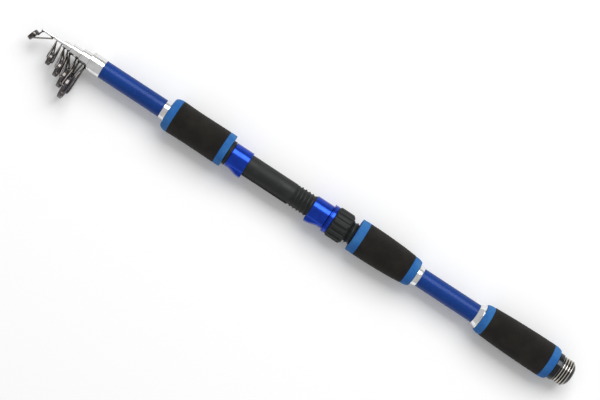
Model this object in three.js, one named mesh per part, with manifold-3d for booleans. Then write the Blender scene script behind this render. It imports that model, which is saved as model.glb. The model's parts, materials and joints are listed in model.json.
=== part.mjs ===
// A telescopic spinning rod, slid shut. Millimetres, Z up.
// X is the rod's axis: the butt cap's end face is at 0 and the tip is towards +X.
// The rod lies on its grips and its largest line guide, so the guides and the reel bed
// face +Y, rolled a little below the horizontal.
import * as THREE from 'three';
import { mergeVertices } from 'three/addons/utils/BufferGeometryUtils.js';
import Module from 'manifold-3d';

const wasm = await Module();
wasm.setup();

const SEAM = 0.05; // gap round pieces that are glued or pressed together
const JOINT_GAP = 0.3; // gap between faces that meet end to end
const RUNNING = 0.1; // radial gap of a sliding fit
const THREAD_PLAY = 0.15; // radial gap of a screwed fit
const FACETS = 24; // facets round a turned piece

// Butt blank, the tube that carries everything and swallows the other sections.
const BLANK = { rear: 16.7, front: 448.2, rearRadius: 7.9, frontRadius: 7.45, wall: 1.1 };

// Butt cap: a turned plug that screws into a bush glued in the blank.
const CAP = { length: 16.4, ridgeRadius: 11, baseRadius: 11.4, baseLength: 5.1, baseEdge: 0.4 };
const CAP_CROWN = [[0, 6.6], [1.2, 8.7], [3.4, 10.3]]; // the rounded end, before the first ridge
const CAP_GROOVES = 4;
const CAP_GROOVE_DEPTH = 0.8;
const CAP_GROOVE_SHARES = [0.3, 0.45, 0.75, 0.9]; // ridge, floor, floor, ridge along one pitch
const SPIGOT = { radius: 5.5, length: 11.2, wall: 0.9, floor: 4 };
const BUSH_LENGTH = 13.5;
const CUSHION = { radius: 5.2, front: 35.2, headLength: 6.6, stemRadius: 4.4, edge: 1 };

// Grips: foam sleeves between two rings. Outlines are [x, radius] from the rear to the front.
const GRIP_RADIUS = 14;
const GRIP_BORE = 8.05;
const GRIPS = [
  {
    name: 'butt_grip',
    rearRing: { from: 16.7, to: 23.6, rear: 12.2, front: GRIP_RADIUS },
    foam: [[23.6, GRIP_RADIUS], [41, 13.9], [61, 13.4], [78.1, 12.6]],
    frontRing: { from: 78.1, to: 84.6, rear: 12.4, front: 10.9 },
    trim: { from: 84.6, to: 89.4, rear: 10.5, front: 8.3 },
  },
  {
    name: 'rear_grip',
    trim: { from: 141.5, to: 146, rear: 8.3, front: 9 },
    rearRing: { from: 146, to: 153, rear: 10.1, front: 12 },
    foam: [[153, 12.2], [165, 13.2], [182, 13.9], [195.8, GRIP_RADIUS]],
    frontRing: { from: 195.8, to: 202.7, rear: GRIP_RADIUS, front: 13.7 },
  },
  {
    name: 'foregrip',
    rearRing: { from: 320.7, to: 326.6, rear: 13.7, front: 13.8 },
    foam: [[326.6, 13.8], [354, 13.6], [369.6, GRIP_RADIUS]],
    frontRing: { from: 369.6, to: 376.3, rear: GRIP_RADIUS, front: 11 },
    trim: { from: 376.3, to: 381, rear: 8.6, front: 7.95 },
  },
];
const FOAM_STEPS = 5;
const RING_STEPS = 3;

// Reel seat: a threaded barrel, a fixed hood in front and a sliding hood with its lock nut.
// It is turned about an axis of its own, a little towards the guides' side of the blank.
const SEAT_LIFT = 0.45;
const BARREL = { from: 203, to: 320.4, radius: 8.8, bore: 7.82, shoulder: 0.4 };
const THREAD = { to: 259.9, crest: 9.3, root: 8.6, pitch: 3.2 };
const BED = { from: 260.6, to: 302, height: 8.9, width: 8.4 };
const NUT = { from: 208.6, to: 223.3, ribRadius: 12.7, rootRadius: 11.7, ribs: 8, chamfer: 1.6 };
const NUT_RIB_SHARES = [0.28, 0.34]; // half a rib's top and foot, as shares of the rib pitch
const NUT_RING = { from: 223.6, to: 227.2, radius: 12 };
const SLIDING_HOOD = { from: 227.5, to: 242.6, radius: 10.2, throat: 10.3, mouth: 12.65 };
const FIXED_HOOD = { from: 302.3, to: 317.6, radius: 10.2, throat: 10.3, mouth: 12.6 };
const HOOD = { width: 12.8, wall: 1, endWall: 2.2, crown: 0.35, shoulder: 0.75 };
const SEAT_COLLAR = { from: 317.9, to: 320.4, radius: 10.3 };

// Sections: each ends in a ferrule that carries its line guide.
const FRONT_FERRULE = { from: 436.7, to: 448.4, radius: 8, edge: 0.4 };
const FERRULE_EDGE = 0.07; // a ferrule's chamfer, as a share of its radius
const FERRULE_LIP = 0.2; // how far a ferrule stands past its blank
const FIRST_REAR_END = 35.7;
const REAR_END_STEP = 1;
const SECTIONS = [
  { name: 'section_2', to: 456.7, radius: 5.9, tube: 5.4, wall: 0.85 },
  { name: 'section_3', to: 465.7, radius: 4.4, tube: 3.95, wall: 0.65 },
  { name: 'section_4', to: 472.7, radius: 2.9, tube: 2.5, wall: 0.5 },
  { name: 'section_5', to: 481.5, radius: 1.4, tube: 1.12, wall: 0.35 },
];

// Guides: a ceramic ring in a wire hoop that stands on a rear fork, a front fork and a prop.
const GUIDES = [
  { x: 453.8, offset: 27.05, radius: 10.75, wire: 0.72, rearFoot: 449.6, frontFoot: 455.6, propFoot: 452.6 },
  { x: 459.1, offset: 22.75, radius: 8.5, wire: 0.66, rearFoot: 458.6, frontFoot: 464.6, propFoot: 464.6 },
  { x: 466, offset: 18.55, radius: 7.15, wire: 0.6, rearFoot: 467.3, frontFoot: 470.8, propFoot: 470.8 },
  { x: 475.65, offset: 15.8, radius: 5.45, wire: 0.55, rearFoot: 474.1, frontFoot: 478.7, propFoot: 478.7 },
];
const HOOP = { width: 2.2, wall: 0.6 };
const CERAMIC = { width: 3.2, wall: 0.17, sunk: 0.12 }; // wall is a share of its guide's radius
const LEG_CLEAR = 0.12; // room that the legs leave before and behind a ceramic ring
const LEG_REST = 0.15; // how far a leg's centre lies outside the hoop, as a share of its radius
const REAR_FORK_ANGLE = 24; // where a fork holds the hoop, in degrees past its middle
const FRONT_FORK_ANGLE = -4;
const FORK_BULGE = 0.6; // how wide a fork is halfway up, as a share of its width at the hoop
const FOOT_SPREAD = 0.35; // how far a fork's feet stand apart, as a share of the wire
const STRUT = { sides: 6, steps: 6 };

// Tip-top: a tube on the tip with a leaning ring, carried by a short fork and a long brace.
const TIP = { frontRadius: 0.55, to: 492.6, facets: 16 };
const TIP_TUBE = { from: 481.8, to: 493, radius: 1.05, bore: 0.62 };
const TIP_RING = { x: 496.7, offset: 7.3, radius: 4.7, tilt: -20, hole: 2.2 };
const TIP_WIRE = { fork: 0.45, brace: 0.62, spread: 0.3, footIn: 0.9 };
const TIP_FORK_HOLD = -1.2; // heights on the ring that the fork and the brace reach
const TIP_BRACE_HOLD = 2.2;

// How far the guides' side is turned down where the rod lies on its grips and on the front fork
// of its largest guide.
function restingRoll() {
  const { offset, radius, wire } = GUIDES[0];
  const reach = radius + wire * LEG_REST;
  const angle = THREE.MathUtils.degToRad(FRONT_FORK_ANGLE);
  const out = offset + reach * Math.sin(angle);
  const down = reach * Math.cos(angle);
  return Math.asin((GRIP_RADIUS - wire) / Math.hypot(out, down)) - Math.atan2(down, out);
}

const GUIDE_ROLL = restingRoll();

const finish = (color, roughness, metalness) =>
  new THREE.MeshStandardMaterial({ color, roughness, metalness });
const chrome = finish(0xc9cbce, 0.15, 1);
const darkChrome = finish(0x55575c, 0.2, 1);
const lacquer = finish(0x173a93, 0.15, 0.2);
const innerBlank = finish(0x1b2540, 0.35, 0);
const blackFoam = finish(0x262422, 0.95, 0);
const blueFoam = finish(0x2b6cab, 0.9, 0);
const blackPlastic = finish(0x1c1c1d, 0.5, 0);
const blueHood = finish(0x14308c, 0.15, 0.3);
const ceramic = finish(0x1c1b3a, 0.1, 0);
const brass = finish(0xb08d4a, 0.35, 1);
const rubber = finish(0x161616, 0.85, 0);

// Turns a closed outline of [x, radius] points round the rod's axis.
function turned(outline, facets = FACETS) {
  const points = outline.map(([x, radius]) => new THREE.Vector2(radius, x));
  if (THREE.ShapeUtils.area(points) < 0) points.reverse();
  const onAxis = points[0].x === 0 && points.at(-1).x === 0;
  if (!onAxis) points.push(points[0].clone());
  const geometry = new THREE.LatheGeometry(points, facets);
  geometry.rotateZ(-Math.PI / 2);
  return geometry;
}

// A turned sleeve: an outer outline from rear to front, with a plain bore.
function sleeve(outline, bore) {
  const rear = outline[0][0];
  const front = outline.at(-1)[0];
  return turned([...outline, [front, bore], [rear, bore]]);
}

function box(from, to) {
  const size = to.map((value, i) => value - from[i]);
  const geometry = new THREE.BoxGeometry(...size);
  geometry.translate(...from.map((value, i) => value + size[i] / 2));
  return geometry;
}

function solid(geometry) {
  const bare = geometry.clone();
  bare.deleteAttribute('normal');
  bare.deleteAttribute('uv');
  const merged = mergeVertices(bare, 1e-4);
  const corners = Array.from(merged.index.array);
  const triVerts = [];
  for (let i = 0; i < corners.length; i += 3) {
    const [a, b, c] = corners.slice(i, i + 3);
    if (a !== b && b !== c && c !== a) triVerts.push(a, b, c);
  }
  const vertProperties = new Float32Array(merged.attributes.position.array);
  const triangles = new Uint32Array(triVerts);
  return new wasm.Manifold(new wasm.Mesh({ numProp: 3, vertProperties, triVerts: triangles }));
}

function surface(body) {
  const mesh = body.getMesh();
  const geometry = new THREE.BufferGeometry();
  geometry.setAttribute('position', new THREE.BufferAttribute(mesh.vertProperties, 3));
  geometry.setIndex(new THREE.BufferAttribute(mesh.triVerts, 1));
  geometry.computeVertexNormals();
  return geometry;
}

const joined = (...geometries) => geometries.map(solid).reduce((whole, next) => whole.add(next));

const rod = new THREE.Group();
const guideSide = new THREE.Group(); // pieces built with the guides' side along +Y
guideSide.rotation.x = -GUIDE_ROLL;
const seat = new THREE.Group(); // pieces of the reel seat, about its own axis
seat.position.y = SEAT_LIFT;
guideSide.add(seat);
rod.add(guideSide);

function add(name, geometry, material, group = rod) {
  const mesh = new THREE.Mesh(geometry, material);
  mesh.name = name;
  group.add(mesh);
  return mesh;
}

const blankRadius = (x) => THREE.MathUtils.mapLinear(
  x, BLANK.rear, BLANK.front, BLANK.rearRadius, BLANK.frontRadius);

function addButtBlank() {
  const outline = [[BLANK.rear, BLANK.rearRadius], [BLANK.front, BLANK.frontRadius]];
  const bore = outline.map(([x, radius]) => [x, radius - BLANK.wall]).reverse();
  add('butt_blank', turned([...outline, ...bore]), lacquer);
  const { from, to, radius, edge } = FRONT_FERRULE;
  const ferrule = [
    [from, radius - edge / 2], [from + edge, radius], [to - edge, radius], [to, radius - edge],
  ];
  add('front_ferrule', sleeve(ferrule, blankRadius(from) + SEAM), chrome);
}

function capRidges(from, to) {
  const pitch = (to - from) / CAP_GROOVES;
  const floor = CAP.ridgeRadius - CAP_GROOVE_DEPTH;
  const heights = [CAP.ridgeRadius, floor, floor, CAP.ridgeRadius];
  const outline = [];
  for (let i = 0; i < CAP_GROOVES; i += 1) {
    CAP_GROOVE_SHARES.forEach((share, k) => outline.push([from + pitch * (i + share), heights[k]]));
  }
  return outline;
}

function addButtCap() {
  const baseFrom = CAP.length - CAP.baseLength;
  const spigotFront = CAP.length + SPIGOT.length;
  const pocketRadius = SPIGOT.radius - SPIGOT.wall;
  const pocketFloor = CAP.length + SPIGOT.floor;
  const outline = [
    [0, 0], ...CAP_CROWN, ...capRidges(CAP_CROWN.at(-1)[0], baseFrom),
    [baseFrom, CAP.ridgeRadius], [baseFrom + CAP.baseEdge, CAP.baseRadius],
    [CAP.length, CAP.baseRadius], [CAP.length, SPIGOT.radius],
    [spigotFront, SPIGOT.radius], [spigotFront, pocketRadius],
    [pocketFloor, pocketRadius], [pocketFloor, 0],
  ];
  add('butt_cap', turned(outline), darkChrome);

  const bushRadius = BLANK.rearRadius - BLANK.wall - SEAM;
  const bush = [[BLANK.rear, bushRadius], [BLANK.rear + BUSH_LENGTH, bushRadius]];
  add('butt_bush', sleeve(bush, SPIGOT.radius + THREAD_PLAY), brass);

  const { front, radius, edge, stemRadius } = CUSHION;
  const headRear = front - CUSHION.headLength;
  const stemRear = pocketFloor + JOINT_GAP;
  add('butt_cushion', turned([
    [stemRear, 0], [stemRear, stemRadius], [headRear, stemRadius], [headRear, radius],
    [front - edge, radius], [front, radius - edge], [front, 0],
  ]), rubber);
}

// A grip's end ring, with its rim rounded where it faces away from the foam.
function endRing({ from, to, rear, front }, roundRear) {
  const [start, end] = [from + SEAM, to - SEAM];
  const low = Math.min(rear, front);
  const high = Math.max(rear, front);
  const outline = [];
  for (let i = 0; i <= RING_STEPS; i += 1) {
    const turn = (i / RING_STEPS) * (Math.PI / 2);
    const along = roundRear ? 1 - Math.cos(turn) : Math.sin(turn);
    const rise = roundRear ? Math.sin(turn) : Math.cos(turn);
    outline.push([start + (end - start) * along, low + (high - low) * rise]);
  }
  return sleeve(outline, GRIP_BORE);
}

function addGrip(grip) {
  const { name, rearRing, frontRing, trim } = grip;
  const line = new THREE.SplineCurve(grip.foam.map(([x, radius]) => new THREE.Vector2(x, radius)));
  const foam = line.getPoints(FOAM_STEPS).map((point) => [point.x, point.y]);
  add(`${name}_rear_ring`, endRing(rearRing, true), blueFoam);
  add(`${name}_foam`, sleeve(foam, GRIP_BORE), blackFoam);
  add(`${name}_front_ring`, endRing(frontRing, false), blueFoam);
  if (!trim) return;
  const bore = blankRadius(trim.from) + SEAM;
  const flare = [[trim.from + SEAM, trim.rear], [trim.to - SEAM, trim.front]];
  add(`${name}_trim`, sleeve(flare, bore), chrome);
}

function threadOutline() {
  const outline = [];
  const turns = Math.floor((THREAD.to - BARREL.from) / THREAD.pitch);
  for (let i = 0; i < turns; i += 1) {
    const x = BARREL.from + i * THREAD.pitch;
    outline.push([x, THREAD.root], [x + THREAD.pitch / 2, THREAD.crest]);
  }
  outline.push([THREAD.to, THREAD.root], [THREAD.to + BARREL.shoulder, BARREL.radius]);
  return outline;
}

// A plug for boring a hole from one station to another.
const plug = (from, to, radius) => turned([[from, 0], [from, radius], [to, radius], [to, 0]]);

function addReelSeat() {
  const core = sleeve([...threadOutline(), [BARREL.to, BARREL.radius]], BARREL.radius / 2);
  const bed = box(
    [BED.from, BARREL.radius / 2, -BED.width / 2],
    [BED.to, BED.height, BED.width / 2],
  );
  const bore = plug(BARREL.from - 1, BARREL.to + 1, BARREL.bore).translate(0, -SEAT_LIFT, 0);
  const barrel = joined(core, bed).subtract(solid(bore));
  add('reel_seat_barrel', surface(barrel), blackPlastic, seat);

  const collar = [[SEAT_COLLAR.from, SEAT_COLLAR.radius], [SEAT_COLLAR.to, SEAT_COLLAR.radius]];
  add('reel_seat_collar', sleeve(collar, BARREL.radius + SEAM), blackPlastic, seat);
}

// The profile of a hood's raised part, sunk by a depth: high at its mouth, low at its throat.
function hoodRise({ from, to, throat, mouth }, mouthInFront, depth) {
  const length = to - from;
  const along = (share) => (mouthInFront ? to - length * share : from + length * share);
  const [high, low] = [mouth - depth, throat - depth];
  return turned([
    [along(0), 0], [along(0), high], [along(HOOD.crown), high],
    [along(HOOD.shoulder), low], [along(1), low], [along(1), 0],
  ]);
}

// The room for the reel's foot: open at the mouth, closed by a wall at the throat.
function hoodPocket(size, mouthInFront) {
  const { from, to, mouth } = size;
  const inner = HOOD.width / 2 - HOOD.wall;
  const start = mouthInFront ? from + HOOD.endWall : from - 1;
  const end = mouthInFront ? to + 1 : to - HOOD.endWall;
  const reach = mouthInFront ? 1 : -1;
  const profile = hoodRise(size, mouthInFront, HOOD.wall);
  const beyond = profile.clone().translate(reach, 0, 0);
  const room = box([start, 0, -inner], [end, mouth, inner]);
  return joined(profile, beyond).intersect(solid(room));
}

// A hood: a sleeve with a raised pocket on the guides' side, open at its mouth.
function hood(size, bore, mouthInFront) {
  const { from, to, radius, mouth } = size;
  const raised = solid(hoodRise(size, mouthInFront, 0))
    .intersect(solid(box([from, 0, -HOOD.width / 2], [to, mouth, HOOD.width / 2])));
  const shell = solid(sleeve([[from, radius], [to, radius]], bore / 2)).add(raised);
  const hole = solid(plug(from - 1, to + 1, bore));
  return surface(shell.subtract(hoodPocket(size, mouthInFront)).subtract(hole));
}

function addHoods() {
  const threadBore = THREAD.crest + THREAD_PLAY;
  add('reel_seat_fixed_hood', hood(FIXED_HOOD, BARREL.radius + SEAM, false), blueHood, seat);
  add('reel_seat_sliding_hood', hood(SLIDING_HOOD, threadBore, true), blueHood, seat);
}

function ribbedProfile() {
  const [top, foot] = NUT_RIB_SHARES;
  const corners = [
    [-0.5, NUT.rootRadius], [-foot, NUT.rootRadius], [-top, NUT.ribRadius],
    [0, NUT.ribRadius], [top, NUT.ribRadius], [foot, NUT.rootRadius],
  ];
  const points = [];
  for (let i = 0; i < NUT.ribs; i += 1) {
    for (const [share, radius] of corners) {
      const angle = (2 * Math.PI * (i + share)) / NUT.ribs;
      points.push(new THREE.Vector2(radius * Math.cos(angle), radius * Math.sin(angle)));
    }
  }
  return new THREE.Shape(points);
}

// The lock nut: a ribbed thimble with chamfered ends, and the slip ring in front of it.
function addLockNut() {
  const bore = THREAD.crest + THREAD_PLAY;
  const { from, to, chamfer } = NUT;
  const body = new THREE.ExtrudeGeometry(ribbedProfile(), { depth: to - from, bevelEnabled: false });
  body.rotateY(Math.PI / 2);
  body.translate(from, 0, 0);
  const crest = NUT.ribRadius + SEAM;
  const envelope = sleeve([
    [from, crest - chamfer], [from + chamfer, crest],
    [to - chamfer / 2, crest], [to, crest - chamfer / 2],
  ], bore);
  add('reel_seat_lock_nut', surface(solid(body).intersect(solid(envelope))), blackPlastic, seat);
  const ring = [[NUT_RING.from, NUT_RING.radius], [NUT_RING.to, NUT_RING.radius]];
  add('reel_seat_nut_ring', sleeve(ring, bore), blueHood, seat);
}

// A wire of a guide frame: a round bar along a smooth curve through points.
function strut(points, radius) {
  const ring = [];
  for (let i = 0; i < STRUT.sides; i += 1) {
    const angle = (2 * Math.PI * i) / STRUT.sides;
    ring.push(new THREE.Vector2(radius * Math.cos(angle), radius * Math.sin(angle)));
  }
  const extrudePath = new THREE.CatmullRomCurve3(points.map((point) => new THREE.Vector3(...point)));
  const settings = { steps: STRUT.steps, extrudePath, bevelEnabled: false };
  return new THREE.ExtrudeGeometry(new THREE.Shape(ring), settings);
}

// Puts a piece turned about the rod's axis at x = 0 where a ring stands, leaning by its tilt.
function placed(geometry, { x, offset, tilt = 0 }) {
  geometry.rotateZ(THREE.MathUtils.degToRad(tilt));
  geometry.translate(x, offset, 0);
  return geometry;
}

function hoop(ring) {
  const half = HOOP.width / 2;
  return placed(sleeve([[-half, ring.radius], [half, ring.radius]], ring.radius - HOOP.wall), ring);
}

// The rim of a ceramic ring: two flanges and a groove between them for the hoop.
function rim(radius, half, grooveHalf, clear) {
  const lip = radius - CERAMIC.sunk + clear;
  const floor = radius - HOOP.wall - SEAM + clear;
  return [
    [-half, lip], [-grooveHalf, lip], [-grooveHalf, floor],
    [grooveHalf, floor], [grooveHalf, lip], [half, lip],
  ];
}

// The room that a ceramic ring fills, which the legs of its frame keep out of.
function ceramicRoom(ring) {
  const half = CERAMIC.width / 2 + LEG_CLEAR;
  const outline = rim(ring.radius, half, (HOOP.width + SEAM) / 2, SEAM);
  return solid(placed(turned([[-half, 0], ...outline, [half, 0]]), ring));
}

// A ceramic ring, rounded towards the line.
function ceramicRing(ring, hole) {
  const half = CERAMIC.width / 2;
  const middle = (ring.radius + hole) / 2;
  const outline = rim(ring.radius, half, HOOP.width / 2 + SEAM, 0);
  outline.push([half, middle], [half / 2, hole], [-half / 2, hole], [-half, middle]);
  return placed(turned(outline), ring);
}

// A fork: two wires from one foot round both sides of the ring to the outside of the hoop.
function fork(guide, seatRadius, footX, angle) {
  const { x, offset, radius, wire } = guide;
  const direction = angle === REAR_FORK_ANGLE ? -1 : 1;
  const clearX = x + direction * (CERAMIC.width / 2 + wire + LEG_CLEAR);
  const reach = radius + wire * LEG_REST;
  const holdY = offset + reach * Math.sin(THREE.MathUtils.degToRad(angle));
  const holdZ = reach * Math.cos(THREE.MathUtils.degToRad(angle));
  const waistY = (seatRadius + offset) / 2 - radius / 5;
  return [-1, 1].map((side) => strut([
    [footX, seatRadius, side * wire * FOOT_SPREAD],
    [(footX + clearX) / 2, waistY, side * holdZ * FORK_BULGE],
    [clearX, holdY - wire, side * holdZ],
    [x + direction * (HOOP.width / 4), holdY, side * holdZ],
  ], wire));
}

function addGuide(section, guide) {
  const { x, offset, radius, wire } = guide;
  const seatRadius = section.radius + wire + SEAM;
  const near = offset - radius + HOOP.wall / 2;
  const prop = strut([[guide.propFoot, seatRadius, 0], [x, near, 0]], wire);
  const wires = [
    ...fork(guide, seatRadius, guide.rearFoot, REAR_FORK_ANGLE),
    ...fork(guide, seatRadius, guide.frontFoot, FRONT_FORK_ANGLE),
  ];
  const frame = joined(hoop(guide), prop, ...wires).subtract(ceramicRoom(guide));
  add(`${section.name}_guide_frame`, surface(frame), chrome, guideSide);
  const hole = radius * (1 - CERAMIC.wall) - HOOP.wall;
  add(`${section.name}_guide_ring`, ceramicRing(guide, hole), ceramic, guideSide);
}

function addSection(section, parent, index) {
  const rear = FIRST_REAR_END + REAR_END_STEP * index;
  const front = section.to - FERRULE_LIP;
  const rearRadius = parent.tube - parent.wall - RUNNING;
  add(`${section.name}_blank`, turned([
    [rear, rearRadius], [front, section.tube], [front, section.tube - section.wall],
    [rear, rearRadius - section.wall],
  ]), innerBlank);
  const from = parent.to + JOINT_GAP;
  const edge = section.radius * FERRULE_EDGE;
  const ferrule = [
    [from, section.radius - edge], [from + edge, section.radius],
    [section.to - edge, section.radius], [section.to, section.radius - edge],
  ];
  const slope = (rearRadius - section.tube) / (front - rear);
  const bore = section.tube + slope * (front - from) + SEAM;
  add(`${section.name}_ferrule`, sleeve(ferrule, bore), chrome);
  addGuide(section, GUIDES[index]);
}

function addSections() {
  let parent = { tube: BLANK.frontRadius, wall: BLANK.wall, to: FRONT_FERRULE.to };
  SECTIONS.forEach((section, index) => {
    addSection(section, parent, index);
    parent = section;
  });
}

function addTipBlank() {
  const last = SECTIONS.at(-1);
  const rear = FIRST_REAR_END + REAR_END_STEP * SECTIONS.length;
  const rearRadius = last.tube - last.wall - RUNNING;
  const outline = [[rear, 0], [rear, rearRadius], [TIP.to, TIP.frontRadius], [TIP.to, 0]];
  add('tip_section_blank', turned(outline, TIP.facets), innerBlank);
  const tube = [[TIP_TUBE.from, TIP_TUBE.radius], [TIP_TUBE.to, TIP_TUBE.radius]];
  add('tip_top_tube', sleeve(tube, TIP_TUBE.bore + SEAM), chrome);
}

// One wire of the tip-top, from a foot on the tube to a height on one side of the leaning ring.
function tipWire(footX, height, wire, side) {
  const { x, offset, radius, tilt } = TIP_RING;
  const lean = x - height * Math.tan(THREE.MathUtils.degToRad(tilt));
  const clearX = lean - CERAMIC.width / 2 - wire - LEG_CLEAR;
  const holdZ = Math.sqrt(radius * radius - height * height) + wire * LEG_REST;
  const foot = [footX, TIP_TUBE.radius + wire + SEAM, side * TIP_WIRE.spread];
  const clear = [clearX, offset + height - wire, side * holdZ];
  const middle = foot.map((value, i) => (value + clear[i]) / 2);
  return strut([foot, middle, clear, [lean, offset + height, side * holdZ]], wire);
}

function addTipTop() {
  const { fork: forkWire, brace, footIn } = TIP_WIRE;
  const wires = [-1, 1].flatMap((side) => [
    tipWire(TIP_TUBE.to - footIn, TIP_FORK_HOLD, forkWire, side),
    tipWire(TIP_TUBE.from + footIn, TIP_BRACE_HOLD, brace, side),
  ]);
  const frame = joined(hoop(TIP_RING), ...wires).subtract(ceramicRoom(TIP_RING));
  add('tip_top_frame', surface(frame), chrome, guideSide);
  add('tip_top_ring', ceramicRing(TIP_RING, TIP_RING.hole), ceramic, guideSide);
}

addButtBlank();
addButtCap();
GRIPS.forEach(addGrip);
addReelSeat();
addHoods();
addLockNut();
addSections();
addTipBlank();
addTipTop();

export default rod;
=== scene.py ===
"""A telescopic spinning rod, slid shut, lying on a pale floor and seen from above.

The frame is the rod's own: X runs along the rod from the butt to the tip, Z is up, and GUIDE_WAY
is the direction that the line guides and the reel bed face. The outlines of pieces are written in
millimetres and become metres when a mesh is made. Everything else is in metres.
"""
import json
import math

import bmesh
import bpy
from mathutils import Matrix, Vector


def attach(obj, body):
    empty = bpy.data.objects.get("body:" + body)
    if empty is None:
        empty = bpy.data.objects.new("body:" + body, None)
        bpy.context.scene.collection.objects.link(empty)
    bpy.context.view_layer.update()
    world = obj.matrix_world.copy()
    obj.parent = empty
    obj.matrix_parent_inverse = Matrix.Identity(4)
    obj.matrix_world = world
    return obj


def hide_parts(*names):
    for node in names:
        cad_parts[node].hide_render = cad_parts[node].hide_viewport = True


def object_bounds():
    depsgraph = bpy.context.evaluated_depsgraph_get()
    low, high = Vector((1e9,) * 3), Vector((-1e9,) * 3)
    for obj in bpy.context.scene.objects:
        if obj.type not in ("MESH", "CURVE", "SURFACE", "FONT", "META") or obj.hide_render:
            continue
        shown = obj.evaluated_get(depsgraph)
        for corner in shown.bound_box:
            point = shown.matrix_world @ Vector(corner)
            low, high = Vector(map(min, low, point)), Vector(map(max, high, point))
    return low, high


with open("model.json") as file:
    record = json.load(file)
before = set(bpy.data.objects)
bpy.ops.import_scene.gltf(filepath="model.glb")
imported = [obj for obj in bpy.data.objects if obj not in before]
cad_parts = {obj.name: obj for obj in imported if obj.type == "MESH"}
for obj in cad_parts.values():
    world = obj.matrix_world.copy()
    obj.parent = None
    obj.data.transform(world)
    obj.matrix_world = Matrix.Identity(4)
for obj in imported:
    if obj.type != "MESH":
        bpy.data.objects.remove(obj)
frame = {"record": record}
cad_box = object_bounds()

MM = 0.001  # metres
ROUND = 96  # facets round a turned piece
FILLET_STEPS = 4  # facets along a rounded corner
WIRE_SIDES = 14  # facets round a wire
MOUNTS = {mount["name"]: mount for mount in frame["record"]["mounts"]}
GUIDE_WAY = Vector(MOUNTS["reel_bed"]["axis"]).normalized()
ALONG = Vector((1, 0, 0))
ACROSS = ALONG.cross(GUIDE_WAY)


# ---------------------------------------------------------------- camera, light and floor

VIEW_DISTANCE = 1.38
VIEW_FOCUS = Vector((0.2530, 0.0010, 0))  # the point in the middle of the picture
VIEW_FOOT = 0.0359  # how far towards the tip the camera stands from that point
ROD_SLOPE = math.radians(33.28)  # slope of the rod in the picture, the butt to the lower right
LENS = 106.2  # millimetres, as the sensor's width is
SENSOR_WIDTH = 36

SOFTBOX_PLACE = Vector((0.25, -1.4, 1.7))
SOFTBOX_AIM = Vector((0.25, 0, 0))
SOFTBOX_SIZE = (2.0, 1.4)
SOFTBOX_POWER = 42  # watts
ROOM_LIGHT = 0.6  # how bright the white room is

FLOOR_HALF = 6  # half the length of a side
FLOOR_GAP = 0.0001  # between the CAD's lowest point and the floor


def add_camera():
    data = bpy.data.cameras.new("camera")
    camera = bpy.data.objects.new("camera", data)
    bpy.context.collection.objects.link(camera)
    data.lens = LENS
    data.sensor_width = SENSOR_WIDTH
    place = VIEW_FOCUS + Vector((VIEW_FOOT, 0, VIEW_DISTANCE))
    back = (place - VIEW_FOCUS).normalized()
    up = Vector((math.sin(ROD_SLOPE), -math.cos(ROD_SLOPE), 0))
    right = up.cross(back).normalized()
    up = back.cross(right)
    facing = Matrix((right, up, back)).transposed().to_4x4()
    camera.matrix_world = Matrix.Translation(place) @ facing
    bpy.context.scene.camera = camera


def add_light():
    """One large softbox over the rod's far side, in an evenly lit white room."""
    light = bpy.data.lights.new("softbox", "AREA")
    light.shape = "RECTANGLE"
    light.size, light.size_y = SOFTBOX_SIZE
    light.energy = SOFTBOX_POWER
    softbox = bpy.data.objects.new("softbox", light)
    softbox.location = SOFTBOX_PLACE
    softbox.rotation_euler = (SOFTBOX_AIM - SOFTBOX_PLACE).to_track_quat("-Z", "Y").to_euler()
    bpy.context.collection.objects.link(softbox)
    world = bpy.data.worlds.new("room")
    bpy.context.scene.world = world
    world.use_nodes = True
    room = world.node_tree.nodes["Background"]
    room.inputs["Color"].default_value = (1, 1, 1, 1)
    room.inputs["Strength"].default_value = ROOM_LIGHT
    bpy.context.scene.view_settings.view_transform = "Standard"


def add_floor():
    """A plain pale floor, just under the rod."""
    mesh = bpy.data.meshes.new("floor")
    level = cad_box[0].z - FLOOR_GAP
    sides = ((-1, -1), (1, -1), (1, 1), (-1, 1))
    corners = [(FLOOR_HALF * x, FLOOR_HALF * y, level) for x, y in sides]
    mesh.from_pydata(corners, [], [(0, 1, 2, 3)])
    floor = bpy.data.objects.new("floor", mesh)
    bpy.context.collection.objects.link(floor)
    material = bpy.data.materials.new("floor")
    material.use_nodes = True
    surface = material.node_tree.nodes["Principled BSDF"]
    surface.inputs["Base Color"].default_value = (0.9, 0.9, 0.9, 1)
    surface.inputs["Roughness"].default_value = 1
    surface.inputs["Specular IOR Level"].default_value = 0
    mesh.materials.append(material)


# ---------------------------------------------------------------- materials

WAVE_PERIOD = 0.314  # between the rings of a wave texture at scale 1


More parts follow.
